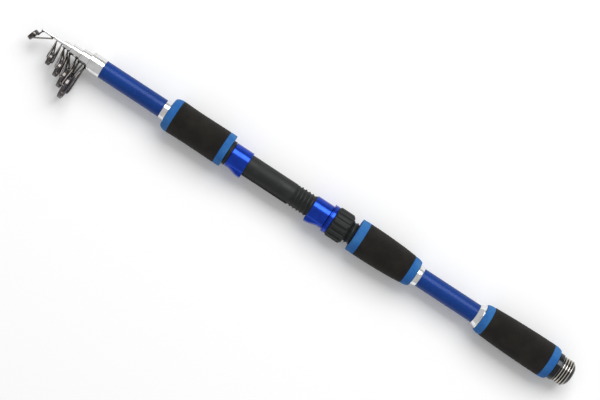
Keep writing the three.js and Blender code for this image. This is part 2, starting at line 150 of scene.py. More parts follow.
class Shader:
    """A Principled material with helpers for procedural detail in object space."""

    def __init__(self, name, **sockets):
        self.material = bpy.data.materials.new(name)
        self.material.use_nodes = True
        self.tree = self.material.node_tree
        self.surface = self.tree.nodes["Principled BSDF"]
        for socket, value in sockets.items():
            self.surface.inputs[socket.replace("_", " ")].default_value = value
        self.place = self.add("ShaderNodeTexCoord").outputs["Object"]

    def add(self, kind, **settings):
        node = self.tree.nodes.new(kind)
        for name, value in settings.items():
            setattr(node, name, value)
        return node

    def link(self, source, target):
        self.tree.links.new(source, target)

    def stretched(self, scale):
        """Object coordinates scaled by a different amount along each axis."""
        mapping = self.add("ShaderNodeMapping")
        mapping.inputs["Scale"].default_value = scale
        self.link(self.place, mapping.inputs["Vector"])
        return mapping.outputs["Vector"]

    def noise(self, size, detail=2, stretch=None):
        """Noise whose features are about size metres across."""
        node = self.add("ShaderNodeTexNoise")
        node.inputs["Scale"].default_value = 1 / size
        node.inputs["Detail"].default_value = detail
        self.link(self.stretched(stretch) if stretch else self.place, node.inputs["Vector"])
        return node.outputs["Fac"]

    def cells(self, size, output="Distance"):
        """Cells about size metres across, as a distance or as a colour each."""
        node = self.add("ShaderNodeTexVoronoi")
        node.inputs["Scale"].default_value = 1 / size
        self.link(self.place, node.inputs["Vector"])
        return node.outputs[output]

    def rings(self, size):
        """Turning marks: fine rings across the rod."""
        node = self.add("ShaderNodeTexWave", bands_direction="X")
        node.inputs["Scale"].default_value = WAVE_PERIOD / size
        node.inputs["Distortion"].default_value = 0.6
        node.inputs["Detail Scale"].default_value = 40
        self.link(self.place, node.inputs["Vector"])
        return node.outputs["Fac"]

    def remap(self, value, low, high, start=0.0, end=1.0):
        """Low where value is start, high where it is end, and even between them."""
        node = self.add("ShaderNodeMapRange")
        node.inputs["From Min"].default_value = start
        node.inputs["From Max"].default_value = end
        node.inputs["To Min"].default_value = low
        node.inputs["To Max"].default_value = high
        self.link(value, node.inputs["Value"])
        return node.outputs[0]

    def blend(self, factor, first, second):
        """Mixes two colours, each a tuple or a socket."""
        node = self.add("ShaderNodeMix", data_type="RGBA")
        self.link(factor, node.inputs["Factor"])
        for socket, colour in (("A", first), ("B", second)):
            if isinstance(colour, tuple):
                node.inputs[socket].default_value = (*colour, 1)
            else:
                self.link(colour, node.inputs[socket])
        return node.outputs["Result"]

    def colour(self, socket):
        self.link(socket, self.surface.inputs["Base Color"])

    def rough(self, socket):
        self.link(socket, self.surface.inputs["Roughness"])

    def bump(self, *layers):
        """Stacks bumps, each (height socket, strength, depth in metres)."""
        normal = None
        for height, strength, depth in layers:
            node = self.add("ShaderNodeBump")
            node.inputs["Strength"].default_value = strength
            node.inputs["Distance"].default_value = depth
            self.link(height, node.inputs["Height"])
            if normal:
                self.link(normal, node.inputs["Normal"])
            normal = node.outputs["Normal"]
        self.link(normal, self.surface.inputs["Normal"])


def foam(name, dark, light, worn):
    """Closed-cell foam: fine cells, a skin rubbed lighter in patches, no gloss."""
    shader = Shader(
        name, Roughness=0.93, Sheen_Weight=0.04, Sheen_Roughness=0.6, Specular_IOR_Level=0.2)
    grain = shader.noise(0.0006, 3)
    patches = shader.remap(shader.noise(0.012, 4), 0, 1, 0.42, 0.72)
    skin = shader.blend(shader.remap(grain, 0, 1, 0.35, 0.65), dark, light)
    shader.colour(shader.blend(patches, skin, worn))
    shader.bump(
        (shader.cells(0.0005), 0.5, 0.00012),
        (grain, 0.6, 0.0002),
        (shader.noise(0.004), 0.3, 0.0003),
    )
    return shader.material


def polished_shader(name, colour, roughness, tarnish):
    """The shader of polished metal, and the socket that gives the metal's colour."""
    shader = Shader(name, Metallic=1.0)
    smear = shader.noise(0.006, 4)
    hair = shader.noise(0.0012, 2, (14, 1, 1))
    metal = shader.blend(shader.remap(smear, 0, 1, 0.45, 0.75), colour, tarnish)
    shader.colour(metal)
    shader.rough(shader.remap(smear, roughness * 0.7, roughness * 1.6, 0.3, 0.7))
    shader.bump((shader.rings(0.0003), 0.06, 0.00002), (hair, 0.08, 0.00003))
    return shader, metal


def polished(name, colour, roughness, tarnish):
    """Turned and polished metal: fine rings, hairline scratches, slight tarnish."""
    return polished_shader(name, colour, roughness, tarnish)[0].material


def lacquer(name, colour, deep, flake_share):
    """Coloured lacquer with fine metal flake under a clear gloss coat."""
    shader = Shader(
        name, Metallic=0.2, Roughness=0.45, Coat_Weight=0.16, Coat_Roughness=0.1,
        Specular_IOR_Level=0.12)
    flakes = shader.cells(0.00028, "Color")
    pick = shader.add("ShaderNodeSeparateColor")
    shader.link(flakes, pick.inputs[0])
    bright = tuple(min(1, c * 1.9 + 0.02) for c in colour)
    cloud = shader.remap(shader.noise(0.03, 3), 0, 1, 0.3, 0.7)
    body = shader.blend(cloud, colour, deep)
    flake = shader.remap(pick.outputs[0], 0, flake_share, 0.75, 1)
    shader.colour(shader.blend(flake, body, bright))
    shader.bump((shader.noise(0.0025, 2), 0.06, 0.0001))
    return shader.material


def moulded(name, colour, pale, roughness, coat):
    """Injection-moulded plastic with a spark-eroded grain and handling marks."""
    shader = Shader(name, Coat_Weight=coat, Coat_Roughness=0.12, Specular_IOR_Level=0.3)
    marks = shader.noise(0.008, 5)
    shader.colour(shader.blend(shader.remap(marks, 0, 1, 0.5, 0.75), colour, pale))
    shader.rough(shader.remap(marks, roughness * 0.85, roughness * 1.2, 0.3, 0.7))
    shader.bump((shader.noise(0.00035, 2), 0.25, 0.00006))
    return shader.material


def tinted_gloss(name, colour, edge):
    """Glossy blue hood: tinted metal-look plastic under a hard clear coat."""
    shader = Shader(name, Metallic=1.0, Roughness=0.2, Coat_Weight=0.05, Coat_Roughness=0.1)
    cloud = shader.noise(0.005, 3)
    shader.colour(shader.blend(shader.remap(cloud, 0, 1, 0.35, 0.7), colour, edge))
    shader.bump((shader.noise(0.002, 2), 0.04, 0.0001))
    return shader.material


def glazed(name, colour, sheen):
    """Polished guide ceramic, dark with a violet-blue bloom."""
    shader = Shader(
        name, Roughness=0.2, Coat_Weight=0.1, Coat_Roughness=0.1, Specular_IOR_Level=0.3)
    cloud = shader.noise(0.002, 3)
    shader.colour(shader.blend(shader.remap(cloud, 0, 1, 0.35, 0.7), colour, sheen))
    shader.bump((shader.noise(0.0006, 2), 0.03, 0.00005))
    return shader.material


def moulded_rubber(name):
    """Matt black rubber with a fine grain."""
    shader = Shader(name, Roughness=0.8)
    grain = shader.noise(0.0007, 3)
    shader.colour(shader.blend(grain, (0.012, 0.012, 0.012), (0.03, 0.03, 0.03)))
    shader.bump((grain, 0.4, 0.0001))
    return shader.material


def two_tone_shaded_chrome(name, colour, roughness, dark, change, groove):
    """Polished metal with a dark base past change along the rod, and painted shade that colours it
    dark nearer its axis than groove.
    """
    tarnish = tuple(c * 0.8 for c in colour)
    shader, metal = polished_shader(name, colour, roughness, tarnish)
    split = shader.add("ShaderNodeSeparateXYZ")
    shader.link(shader.place, split.inputs[0])
    across = shader.add("ShaderNodeCombineXYZ")
    shader.link(split.outputs["Y"], across.inputs["Y"])
    shader.link(split.outputs["Z"], across.inputs["Z"])
    length = shader.add("ShaderNodeVectorMath", operation="LENGTH")
    shader.link(across.outputs[0], length.inputs[0])
    dark_base_and_shade = shader.add("ShaderNodeMath", operation="MAXIMUM")
    past = shader.remap(split.outputs["X"], 0, 1, change, change + 0.0002)
    # painted shade: dark in the grooves and on the crown, where the metal lies nearer the axis than
    # groove
    within = shader.remap(length.outputs["Value"], 0, 1, groove + 0.0003, groove)
    shader.link(past, dark_base_and_shade.inputs[0])
    shader.link(within, dark_base_and_shade.inputs[1])
    shader.colour(shader.blend(dark_base_and_shade.outputs[0], metal, dark))
    return shader.material


CAP_RIDGES_END = 12.3  # where the butt cap's plain dark base starts
CAP_SHADE_RADIUS = 10.3  # painted shade: the cap is coloured dark nearer its axis than this, on the crown and in the grooves

LOOKS = {
    "black_foam": foam(
        "black_foam", (0.0050, 0.0044, 0.0034), (0.0095, 0.0084, 0.0066), (0.0140, 0.0122, 0.0095)),
    "blue_foam": foam(
        "blue_foam", (0.010, 0.080, 0.28), (0.018, 0.122, 0.37), (0.034, 0.145, 0.35)),
    "chrome": polished("chrome", (0.80, 0.80, 0.80), 0.07, (0.66, 0.65, 0.63)),
    # Chrome with a dark base colour, worn by the guide frames and the tip-top frame.
    "dark_toned_chrome": polished("dark_toned_chrome", (0.13, 0.12, 0.11), 0.1, (0.07, 0.06, 0.05)),
    # The butt cap: a dark base, and painted shade on the crown and in the grooves.
    "dark_chrome": two_tone_shaded_chrome(
        "dark_chrome", (0.62, 0.58, 0.50), 0.14, (0.035, 0.038, 0.042),
        CAP_RIDGES_END * MM, CAP_SHADE_RADIUS * MM),
    "lacquered_blank": lacquer("lacquered_blank", (0.002, 0.036, 0.21), (0.0016, 0.027, 0.16), 0.5),
    "plain_blank": lacquer("plain_blank", (0.012, 0.022, 0.07), (0.008, 0.012, 0.035), 0.3),
    "seat_plastic": moulded(
        "seat_plastic", (0.0085, 0.0105, 0.0095), (0.017, 0.019, 0.018), 0.55, 0.0),
    "hood_blue": tinted_gloss("hood_blue", (0.014, 0.056, 0.46), (0.012, 0.040, 0.34)),
    "guide_ceramic": glazed("guide_ceramic", (0.010, 0.011, 0.035), (0.03, 0.02, 0.07)),
    "brass": polished("brass", (0.66, 0.45, 0.17), 0.25, (0.40, 0.25, 0.10)),
    "rubber": moulded_rubber("rubber"),
}
SLOTS = {row["node"]: row["material_slot"] for row in frame["record"]["subparts"]}
BODIES = {
    node: body
    for body, nodes in frame["record"]["behaviour"]["bodies"].items()
    for node in nodes
}


# ---------------------------------------------------------------- making pieces

SHARP = math.radians(38)  # a steeper edge is drawn sharp


def merged(*parts):
    """Several (points, faces) as one."""
    points, faces = [], []
    for part_points, part_faces in parts:
        start = len(points)
        points.extend(part_points)
        faces.extend([start + corner for corner in face] for face in part_faces)
    return points, faces


def piece(node, shape, look=None):
    """Makes a mesh that rides on its CAD node's body and stands for it.

    It wears the look named after its slot, unless another look is asked for.
    """
    mesh = bpy.data.meshes.new(node)
    mesh.from_pydata(shape[0], [], shape[1])
    work = bmesh.new()
    work.from_mesh(mesh)
    bmesh.ops.recalc_face_normals(work, faces=work.faces)
    work.to_mesh(mesh)
    work.free()
    mesh.polygons.foreach_set("use_smooth", [True] * len(mesh.polygons))
    mesh.set_sharp_from_angle(angle=SHARP)
    mesh.materials.append(LOOKS[look or SLOTS[node]])
    made = bpy.data.objects.new(node, mesh)
    bpy.context.collection.objects.link(made)
    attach(made, BODIES[node])
    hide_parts(node)
    return made


def filleted(corners):
    """An outline in metres from corners in millimetres, each (x, radius) or (x, radius, fillet)."""
    outline = []
    for i, corner in enumerate(corners):
        here = Vector(corner[:2])
        if len(corner) < 3:
            outline.append(here * MM)
            continue
        before = Vector(corners[i - 1][:2]) - here
        after = Vector(corners[(i + 1) % len(corners)][:2]) - here
        cut = min(corner[2], before.length * 0.48, after.length * 0.48)
        start = here + before.normalized() * cut
        end = here + after.normalized() * cut
        for step in range(FILLET_STEPS + 1):
            t = step / FILLET_STEPS
            outline.append((start * (1 - t) ** 2 + here * 2 * t * (1 - t) + end * t ** 2) * MM)
    return outline


def lathe(outline, centre=Vector(), along=ALONG, out=GUIDE_WAY, count=ROUND):
    """Turns a closed outline of (distance along, radius) points about an axis."""
    side = along.cross(out)
    points, faces, rows = [], [], []
    for distance, radius in outline:
        middle = centre + along * distance
        if radius < 1e-7:
            rows.append([len(points)] * count)
            points.append(middle)
            continue
        rows.append(list(range(len(points), len(points) + count)))
        for i in range(count):
            angle = 2 * math.pi * i / count
            points.append(middle + (out * math.cos(angle) + side * math.sin(angle)) * radius)
    for k in range(len(rows)):
        low, high = rows[k], rows[(k + 1) % len(rows)]
        for i in range(count):
            j = (i + 1) % count
            ring = list(dict.fromkeys((low[i], low[j], high[j], high[i])))
            if len(ring) > 2:
                faces.append(ring)
    return points, faces


def bored(corners, bore, fillet=0.15):
    """Corners of a sleeve from its rear to its front, closed along a plain bore."""
    return [*corners, (corners[-1][0], bore, fillet), (corners[0][0], bore, fillet)]


def turned(node, corners, centre=Vector()):
    """The piece for a node whose outline is turned about the rod's axis, or one beside it."""
    return piece(node, lathe(filleted(corners), centre))


def shell(outer, inner, stations, angles, centre, hole_centre):
    """A hollow piece between two polar surfaces, each a radius in mm at (x in mm, angle)."""
    points, faces = [], []
    for surface, middle in ((outer, centre), (inner, hole_centre)):
        for x in stations:
            for angle in angles:
                way = GUIDE_WAY * math.cos(angle) + ACROSS * math.sin(angle)
                points.append(middle + (ALONG * x + way * surface(x, angle)) * MM)
    count, rows = len(angles), len(stations)
    within = rows * count
    for i in range(count):
        j = (i + 1) % count
        for k in range(rows - 1):
            low, high = k * count, (k + 1) * count
            faces.append((low + i, low + j, high + j, high + i))
            faces.append((within + low + i, within + high + i, within + high + j, within + low + j))
        last = (rows - 1) * count
        faces.append((i, within + i, within + j, j))
        faces.append((last + i, last + j, within + last + j, within + last + i))
    return points, faces


def stations(start, end, step, fillet=0.0):
    """Stations from start to end, closer together over a fillet at each end."""
    count = max(1, round((end - start - 2 * fillet) / step))
    middle = [start + fillet + (end - start - 2 * fillet) * i / count for i in range(count + 1)]
    if not fillet:
        return middle
    eased = [fillet * (1 - math.cos(math.pi / 2 * i / 4)) for i in range(4)]
    return [start + e for e in eased] + middle + [end - e for e in reversed(eased)]


def end_drop(x, start, end, fillet):
    """How far a rounded end lies below the full radius at x."""
    depth = fillet - min(x - start, end - x)
    if depth <= 0:
        return 0.0
    return fillet - math.sqrt(max(0.0, fillet ** 2 - depth ** 2))


def even_angles(count):
    return [2 * math.pi * i / count for i in range(count)]


def ease(value, low, high):
    """A smooth step from 0 at low to 1 at high."""
    t = max(0.0, min(1.0, (value - low) / (high - low)))
    return t * t * (3 - 2 * t)


# ---------------------------------------------------------------- blank, cap and grips

BLANK_REAR = 16.7
BLANK_FRONT = 448.2
BLANK_RADIUS = 7.9  # at its rear
BLANK_TAPER = 0.45  # how much less its radius is in front
BLANK_WALL = 1.1
FIT = 0.05  # between a blank and the sleeve on it


def blank_radius(x):
    """The butt blank's radius at x, both in millimetres."""
    return BLANK_RADIUS - BLANK_TAPER * (x - BLANK_REAR) / (BLANK_FRONT - BLANK_REAR)


def sleeve_bore(x):
    """The bore of a sleeve whose rear end is at x on the butt blank."""
    return blank_radius(x) + FIT


def add_butt_blank():
    front_radius = BLANK_RADIUS - BLANK_TAPER
    turned("butt_blank", [
        (BLANK_REAR, BLANK_RADIUS, 0.2), (BLANK_FRONT, front_radius, 0.3),
        (BLANK_FRONT, front_radius - BLANK_WALL, 0.2), (BLANK_REAR, BLANK_RADIUS - BLANK_WALL, 0.2),
    ])
    add_ferrule("front_ferrule", 436.7, 448.4, 8, sleeve_bore(436.7))


def add_ferrule(node, start, end, radius, bore):
    """A drawn metal collar: a rounded rear edge, a plain wall and a rolled lip in front."""
    lip = min(1.3, radius * 0.28)
    dip = radius * 0.012
    corners = [
        (start, radius - dip, radius * 0.05), (end - lip - 0.25, radius - dip, 0.1),
        (end - lip - 0.12, radius - dip * 3, 0.06), (end - lip, radius, 0.12),
        (end, radius, radius * 0.09),
    ]
    turned(node, bored(corners, bore, 0.05))


def thread_shell(start, end, crest, root, pitch, inner):
    """A helical thread that fades out at both ends, with a plain inside."""
    def outer(x, angle):
        phase = (x / pitch - angle / (2 * math.pi)) % 1
        wave = ease(0.5 - abs(phase - 0.5), 0.12, 0.38)
        fade = ease(x, start, start + pitch * 0.4) * ease(end - x, 0, pitch * 0.4)
        return root + (crest - root) * wave * fade
    places = stations(start, end, pitch / 10)
    return shell(outer, lambda x, angle: inner, places, even_angles(72), Vector(), Vector())


CAP_RIDGES = 4
CAP_RIDGES_START = 3.4
CAP_RADIUS = 11  # over the ridges
CAP_GROOVE_FLOOR = 9.95
CAP_BASE_RADIUS = 11.4
CAP_FRONT = 16.4
SPIGOT_BORE = 4.6


def cap_outline():
    """The butt cap's outline: a crown, rolled ridges, a plain base and the spigot's inside."""
    start, ridge, floor = CAP_RIDGES_START, CAP_RADIUS, CAP_GROOVE_FLOOR
    corners = [(0, 0), (0, 6.6, 0.8), (1.2, 8.7, 1.6), (start - 0.1, 10.3, 0.8)]
    corners.append((start + 0.1, ridge, 0.35))
    pitch = (CAP_RIDGES_END - start) / CAP_RIDGES
    for i in range(CAP_RIDGES):
        x = start + pitch * i
        corners += [
            (x + pitch * 0.3, ridge, 0.3), (x + pitch * 0.42, floor, 0.15),
            (x + pitch * 0.86, floor, 0.15), (x + pitch * 0.98, ridge, 0.3),
        ]
    corners += [
        (CAP_RIDGES_END + 0.05, ridge, 0.1), (CAP_RIDGES_END + 0.25, CAP_BASE_RADIUS, 0.25),
        (CAP_FRONT, CAP_BASE_RADIUS, 0.3), (CAP_FRONT, 5.0, 0.1), (17.0, 5.0),
        (17.0, SPIGOT_BORE), (20.4, SPIGOT_BORE), (20.4, 0),
    ]
    return corners


def add_butt_cap():
    """The cap with its threaded spigot, the ribbed bush that takes it and the pad inside it."""
    body = lathe(filleted(cap_outline()))
    spigot = thread_shell(16.9, 27.6, 5.5, 4.95, 1.5, SPIGOT_BORE)
    piece("butt_cap", merged(body, spigot))
    bush_front, bush_radius, bush_bore, rib_step = 30.2, 6.75, 5.75, 0.75
    bush = [
        (BLANK_REAR, bush_radius, 0.1), (bush_front, bush_radius, 0.3),
        (bush_front, bush_bore, 0.2),
    ]
    for i in range(1, 18):
        bush.append((bush_front - rib_step * i, 5.65 if i % 2 else 5.95, 0.1))
    turned("butt_bush", [*bush, (BLANK_REAR, bush_bore, 0.1)])
    turned("butt_cushion", [
        (20.7, 0), (20.7, 4.4, 0.5), (28.6, 4.4, 0.3), (28.6, 5.2, 0.3), (30.6, 5.2, 0.1),
        (30.8, 5.0, 0.1), (31.2, 5.0, 0.1), (31.4, 5.2, 0.1), (35.2, 5.2, 1.2), (35.2, 0),
    ])


GRIP_BORE = 8.05
GRIP_RADIUS = 14  # at its fullest
JOIN_GAP = 0.05  # left at each end of a foam, a ring and a trim


def ring_corners(start, end, rear, front, round_rear):
    """An end ring's outline: a quarter oval that meets the foam at its full height."""
    start, end = start + JOIN_GAP, end - JOIN_GAP
    low, high = min(rear, front), max(rear, front)
    steps = 10
    corners = []
    for i in range(steps + 1):
        turn = math.pi / 2 * i / steps
        along = 1 - math.cos(turn) if round_rear else math.sin(turn)
        rise = math.sin(turn) if round_rear else math.cos(turn)
        corners.append((start + (end - start) * along, low + (high - low) * rise))
    meets = len(corners) - 1 if round_rear else 0
    corners[meets] = (*corners[meets], 0.35)
    free = 0 if round_rear else len(corners) - 1
    corners[free] = (*corners[free], 0.5)
    return corners


def foam_corners(line):
    """A foam sleeve's outline: a smooth curve through line, pinched where it meets its rings."""
    points = [Vector((x, radius)) for x, radius in line]
    path = smooth_path(points, 8)
    corners = [(point.x, point.y) for point in path]
    corners[0] = (line[0][0] + JOIN_GAP, line[0][1], 0.35)
    corners[-1] = (line[-1][0] - JOIN_GAP, line[-1][1], 0.35)
    return corners


def add_foam(node, corners):
    turned(node, bored(corners, GRIP_BORE))


def add_trim(node, start, end, rear, front):
    """A winding check: a flared metal cone with a bead at its larger end."""
    bore = sleeve_bore(start)
    start, end = start + JOIN_GAP, end - JOIN_GAP
    bead = 0.9
    slope = (front - rear) / (end - start)
    if rear > front:
        corners = [
            (start, rear, 0.35), (start + bead, rear + slope * bead, 0.2),
            (start + bead + 0.2, rear + slope * (bead + 0.2) - 0.25, 0.1), (end, front, 0.25),
        ]
    else:
        corners = [
            (start, rear, 0.25), (end - bead - 0.2, front - slope * (bead + 0.2) - 0.2, 0.1),
            (end - bead, front - slope * bead, 0.2), (end, front, 0.3),
        ]
    turned(node, bored(corners, bore, 0.05))


def add_grips():
    full = GRIP_RADIUS
    add_foam("butt_grip_rear_ring", ring_corners(16.7, 23.6, 12.2, full, True))
    add_foam("butt_grip_foam", foam_corners([(23.6, full), (41, 13.9), (61, 13.4), (78.1, 12.6)]))
    add_foam("butt_grip_front_ring", ring_corners(78.1, 84.6, 12.4, 10.9, False))
    add_trim("butt_grip_trim", 84.6, 89.4, 10.5, 8.3)
    add_trim("rear_grip_trim", 141.5, 146, 8.3, 9)
    add_foam("rear_grip_rear_ring", ring_corners(146, 153, 10.1, 12, True))
    add_foam("rear_grip_foam", foam_corners([(153, 12.2), (165, 13.2), (182, 13.9), (195.8, full)]))
    add_foam("rear_grip_front_ring", ring_corners(195.8, 202.7, full, 13.7, False))
    add_foam("foregrip_rear_ring", ring_corners(320.7, 326.6, 13.7, 13.8, True))
    add_foam("foregrip_foam", foam_corners([(326.6, 13.8), (354, 13.6), (369.6, full)]))
    add_foam("foregrip_front_ring", ring_corners(369.6, 376.3, full, 11, False))
    add_trim("foregrip_trim", 376.3, 381, 8.6, 7.95)


# ---------------------------------------------------------------- reel seat

SEAT_AXIS = GUIDE_WAY * 0.45 * MM  # the seat is turned about an axis beside the blank's
BARREL_REAR = 203
BARREL_FRONT = 320.4
BARREL_RADIUS = 8.4  # under the thread; the plain tube is TUBE_RISE larger
BARREL_BORE = 7.82
TUBE_RISE = 0.4
THREAD_END = 259.9
THREAD_PITCH = 3.2
THREAD_HEIGHT = 0.9
BED = (260.6, 302)  # the reel bed's ends
BED_HEIGHT = 8.9
BED_HALF = 4.2  # half its width
SLIDING_BORE = 9.45  # of the hood, nut and ring that go over the thread
FIXED_BORE = 8.85  # of the hood and collar that are on the tube
HOOD_RADIUS = 10.15
HOOD_THROAT = 10.3  # the raised part's height at its closed end
COLLAR_RADIUS = 10.3
HOOD_WALL = 1
POCKET_SIDE = 6.4  # half the raised part's width


def fine_angles(*edges):
    """Angles all round, closer together beside each edge angle on both sides."""
    angles = set(even_angles(96))
    for edge in edges:
        for offset in (-0.05, -0.025, 0, 0.025, 0.05):
            angles.add((edge + offset) % (2 * math.pi))
            angles.add((-edge - offset) % (2 * math.pi))
    return sorted(angles)


def barrel_radius(x, angle):
    """The barrel: a helical thread, then a plain tube with a flat bed for the reel's foot."""
    if x < THREAD_END:
        phase = (x / THREAD_PITCH - angle / (2 * math.pi)) % 1
        wave = ease(0.5 - abs(phase - 0.5), 0.16, 0.5)
        crest = THREAD_HEIGHT * wave * ease(THREAD_END - x, 0, 1.6)
        return BARREL_RADIUS + crest - end_drop(x, BARREL_REAR, BARREL_FRONT, 0.4)
    tube = BARREL_RADIUS + TUBE_RISE * ease(x, THREAD_END, THREAD_END + 0.4)
    tube -= end_drop(x, BARREL_REAR, BARREL_FRONT, 0.4)
    if math.cos(angle) <= 0 or not BED[0] <= x <= BED[1]:
        return tube
    side = max(1e-6, abs(math.sin(angle)))
    rise = min(BED_HEIGHT / math.cos(angle), BED_HALF / side)
    return max(tube, rise - end_drop(x, *BED, 0.5))


def add_barrel():
    """The barrel, bored on the rod's axis, and the collar that closes its front."""
    places = stations(BARREL_REAR, THREAD_END, 0.27)[:-1]
    places += [THREAD_END + 0.15 * i for i in range(5)]
    places += stations(*BED, 3, 0.5) + stations(BED[1] + 0.15, BARREL_FRONT, 3, 0.4)
    tube_radius = 8.8
    angles = fine_angles(math.atan2(BED_HALF, BED_HEIGHT), math.asin(BED_HALF / tube_radius))
    piece("reel_seat_barrel", shell(
        barrel_radius, lambda x, angle: BARREL_BORE, sorted(set(places)), angles,
        SEAT_AXIS, Vector()))
    collar = [
        (317.9, COLLAR_RADIUS, 0.4), (318.9, COLLAR_RADIUS, 0.1), (319.1, 10.1, 0.1),
        (319.3, COLLAR_RADIUS, 0.1), (BARREL_FRONT, COLLAR_RADIUS, 0.3),
    ]
    turned("reel_seat_collar", bored(collar, FIXED_BORE, 0.05), SEAT_AXIS)


def hood_surface(start, end, mouth_in_front, radius, throat, mouth, half):
    """A polar surface: a tube with a smoothly raised part on the guides' side."""
    length = end - start

    def surface(x, angle):
        share = (end - x if mouth_in_front else x - start) / length
        height = mouth + (throat - mouth) * ease(share, 0.1, 0.85)
        if math.cos(angle) <= 0:
            return radius
        across = max(1e-6, abs(math.sin(angle)))
        gap = min(height, half / across) - radius
        if gap <= -1:
            return radius
        blend = 0.35  # how softly the raised part leaves the tube
        return radius + (gap + math.sqrt(gap * gap + blend * blend * 0.25)) / 2
    return surface


def add_hood(node, start, end, mouth_in_front, bore, mouth):
    """A hood: a sleeve whose raised part opens in a pocket for the reel's foot."""
    outer = hood_surface(
        start, end, mouth_in_front, HOOD_RADIUS, HOOD_THROAT, mouth, POCKET_SIDE)
    pocket, pocket_side = mouth - HOOD_WALL, POCKET_SIDE - HOOD_WALL
    wall = hood_surface(start, end, mouth_in_front, bore, bore - 0.4, pocket, pocket_side)

    def outside(x, angle):
        return outer(x, angle) - end_drop(x, start, end, 0.45)

    def inside(x, angle):
        depth = x - start if mouth_in_front else end - x
        opened = ease(depth, 2.0, 2.4)
        return bore + max(0.0, wall(x, angle) - bore) * opened
    angles = fine_angles(
        math.asin(POCKET_SIDE / mouth), math.asin(5.4 / pocket), math.asin(POCKET_SIDE / 10.2))
    places = stations(start, end, 0.4, 0.45)
    piece(node, shell(outside, inside, places, angles, SEAT_AXIS, SEAT_AXIS))


def rib_height(angle, ribs):
    """1 on top of a rib and 0 between ribs."""
    share = abs((angle * ribs / (2 * math.pi)) % 1 - 0.5)
    return ease(0.5 - share, 0.16, 0.24)


def add_lock_nut():
    """The ribbed lock nut and the plain ring at its front."""
    start, end = 208.6, 223.3
    rib_count, root, rib_rise = 16, 11.75, 0.95

    def outer(x, angle):
        rib = ease(x, start + 0.8, start + 2.2) * ease(end - 0.6 - x, 0, 0.6)
        radius = root + rib_rise * rib_height(angle, rib_count) * rib
        return radius - end_drop(x, start, end + 0.9, 1.4) - end_drop(x, start - 2, end, 0.4)
    angles = even_angles(rib_count * 14)
    places = stations(start, end, 0.6, 1.4)
    piece("reel_seat_lock_nut", shell(
        outer, lambda x, angle: SLIDING_BORE, places, angles, SEAT_AXIS, SEAT_AXIS))
    ring = [
        (223.6, 12, 0.2), (226.1, 12, 0.2), (226.2, 11.3, 0.1), (226.5, 11.3, 0.1),
        (226.6, 12, 0.1), (227.2, 12, 0.2),
    ]
    turned("reel_seat_nut_ring", bored(ring, SLIDING_BORE, 0.1), SEAT_AXIS)


def add_reel_seat():
    add_barrel()
    add_hood("reel_seat_sliding_hood", 227.5, 242.6, True, SLIDING_BORE, 12.65)
    add_hood("reel_seat_fixed_hood", 302.3, 317.6, False, FIXED_BORE, 12.6)
    add_lock_nut()


# ---------------------------------------------------------------- sections, guides and tip-top

def smooth_path(points, steps):
    """A Catmull-Rom curve through points."""
    path = []
    ends = [points[0] * 2 - points[1], *points, points[-1] * 2 - points[-2]]
    for a, b, c, d in zip(ends, ends[1:], ends[2:], ends[3:]):
        for step in range(steps):
            t = step / steps
            path.append((b * 2 + (c - a) * t + (a * 2 - b * 5 + c * 4 - d) * t ** 2
                         + (b * 3 - a - c * 3 + d) * t ** 3) / 2)
    path.append(points[-1].copy())
    return path


def wire(points, radius):
    """A round wire with round ends along a smooth curve; points and radius are in millimetres."""
    path = smooth_path([Vector(point) * MM for point in points], 8)
    radius *= MM
    sides = WIRE_SIDES
    rows = []
    normal = (path[1] - path[0]).orthogonal().normalized()
    last = len(path) - 1
    for i, place in enumerate(path):
        tangent = (path[min(i + 1, last)] - path[max(i - 1, 0)]).normalized()
        normal = (normal - tangent * normal.dot(tangent)).normalized()
        caps = [(0.0, 1.0)]
        if i == 0:
            caps = [(-1, 0.02), (-0.87, 0.5), (-0.5, 0.87), (0.0, 1.0)]
        elif i == last:
            caps = [(0.0, 1.0), (0.5, 0.87), (0.87, 0.5), (1, 0.02)]
        for shift, scale in caps:
            centre = place + tangent * radius * shift
            rows.append((centre, normal, tangent.cross(normal), radius * scale))
    verts, faces = [], []
    for centre, first, second, size in rows:
        for i in range(sides):
            angle = 2 * math.pi * i / sides
            verts.append(centre + (first * math.cos(angle) + second * math.sin(angle)) * size)
    for k in range(len(rows) - 1):
        for i in range(sides):
            j = (i + 1) % sides
            faces.append((k * sides + i, k * sides + j, (k + 1) * sides + j, (k + 1) * sides + i))
    faces.append(list(range(sides)))
    faces.append([(len(rows) - 1) * sides + i for i in range(sides)])
    return verts, faces


def in_frame(x, height, side):
    """A point in millimetres: along the rod, towards the guides' side and across."""
    return ALONG * x + GUIDE_WAY * height + ACROSS * side


HOOP_HALF = 1.1  # half the wire hoop's width
HOOP_WALL = 0.6
CERAMIC_HALF = 1.6  # half the ceramic ring's width
CERAMIC_SUNK = 0.12  # how far its flanges lie inside the hoop's outside
CERAMIC_GROOVE = 1.15  # half the width of the groove that holds the hoop
LEG_AT = CERAMIC_HALF + 0.12  # a wire passes the ceramic this far from the ring's middle
HOLD_AT = 0.55  # and ends on the hoop this far from it
WIRE_REST = 0.05  # between a wire and the ferrule under it
WIRE_BITE = 0.15  # how far outside the hoop a wire's middle lies, in wire radii
FOOT_ANGLE = 0.65  # radians: half the arc of a ferrule that a foot covers
FOOT_WALL = 0.5


